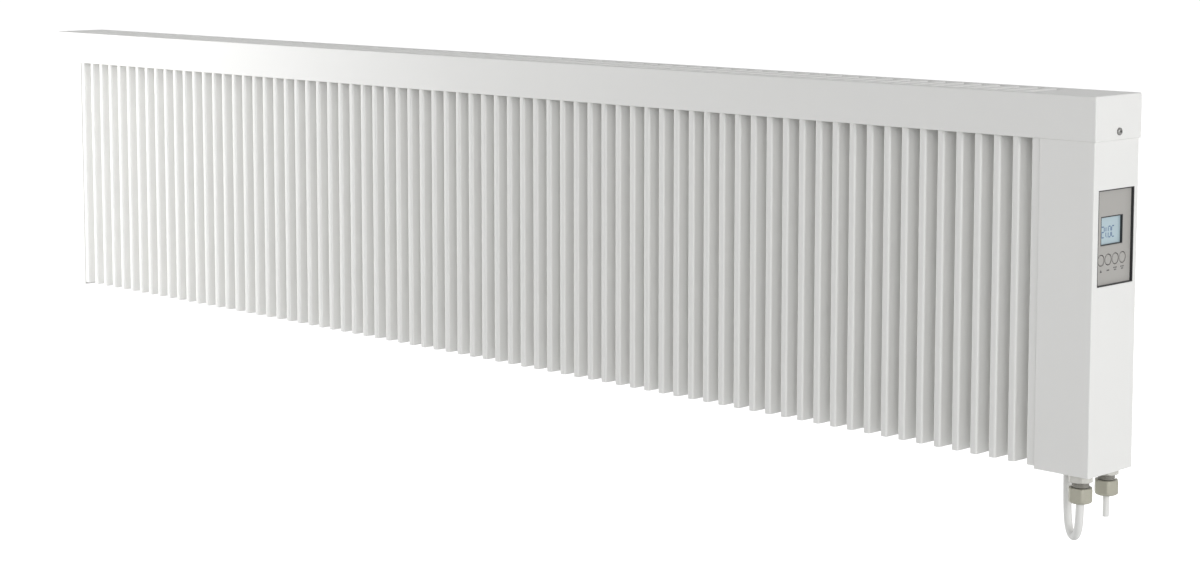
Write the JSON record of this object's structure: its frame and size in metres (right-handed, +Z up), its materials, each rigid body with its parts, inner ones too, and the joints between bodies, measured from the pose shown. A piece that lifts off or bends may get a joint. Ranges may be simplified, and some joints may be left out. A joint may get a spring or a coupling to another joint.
{
  "type": "storage heater",
  "caption": "Long, low wall-hung storage heater with a finned front, a slotted top cover, a thermostat with round keys in its right end, and cable glands under it.",
  "frame": {"origin": "middle of the four wall screws of the two brackets, on the wall's surface", "axes": "+X along the heater towards its thermostat end, +Y into the wall, +Z up"},
  "size_m": [1.9552, 0.0988, 0.4756],
  "materials": {
    "black_plastic": "matte",
    "black_rubber": "matte",
    "board_laminate": "satin",
    "bush_ceramic": "matte",
    "display_glass": "gloss",
    "element_steel": "satin",
    "fireclay": "matte",
    "galvanised_sheet": "satin",
    "gland_brass": "satin",
    "grey_plastic": "satin",
    "mineral_board": "matte",
    "nickel_wire": "satin",
    "relay_case": "satin",
    "screw_steel": "gloss",
    "terminal_plastic": "satin",
    "white_enamel": "satin",
    "white_pvc": "satin"
  },
  "bodies": {
    "casing": {"circuit_board": "board_laminate", "core_clamp": "galvanised_sheet", "core_slabs": "fireclay", "core_tray": "galvanised_sheet", "cover_screws": "screw_steel", "display": "display_glass", "display_frame": "black_plastic", "element_bushes": "bush_ceramic", "element_wires": "nickel_wire", "fascia": "grey_plastic", "fin_panel": "white_enamel", "foot_screws": "screw_steel", "front_liner": "galvanised_sheet", "gland_bodies": "gland_brass", "gland_locknuts": "gland_brass", "gland_nuts": "gland_brass", "gland_seals": "black_rubber", "heating_element": "element_steel", "housing_nuts": "screw_steel", "insulation_board": "mineral_board", "key_switches": "black_plastic", "lead_grommet": "black_rubber", "lead_tails": "white_pvc", "left_end_cover": "white_enamel", "left_partition": "galvanised_sheet", "loop_lead": "white_pvc", "mains_lead": "white_pvc", "overheat_cutout": "bush_ceramic", "rear_panel": "galvanised_sheet", "rear_screws": "screw_steel", "relay": "relay_case", "right_end_cover": "white_enamel", "right_partition": "galvanised_sheet", "room_sensor": "black_plastic", "terminal_block": "terminal_plastic", "thermostat_housing": "black_plastic", "top_cover": "white_enamel", "wall_brackets": "galvanised_sheet"},
    "key_1": {"key_1": "grey_plastic"},
    "key_2": {"key_2": "grey_plastic"},
    "key_3": {"key_3": "grey_plastic"},
    "key_4": {"key_4": "grey_plastic"}
  },
  "joints": [
    {"name": "key_1_press", "type": "slide", "parent": "casing", "child": "key_1", "axis": [-1, 0, 0], "range_m": [0, 0.0006], "stiffness_N_per_m": 300, "springref_m": -0.0002},
    {"name": "key_2_press", "type": "slide", "parent": "casing", "child": "key_2", "axis": [-1, 0, 0], "range_m": [0, 0.0006], "stiffness_N_per_m": 300, "springref_m": -0.0002},
    {"name": "key_3_press", "type": "slide", "parent": "casing", "child": "key_3", "axis": [-1, 0, 0], "range_m": [0, 0.0006], "stiffness_N_per_m": 300, "springref_m": -0.0002},
    {"name": "key_4_press", "type": "slide", "parent": "casing", "child": "key_4", "axis": [-1, 0, 0], "range_m": [0, 0.0006], "stiffness_N_per_m": 300, "springref_m": -0.0002}
  ]
}
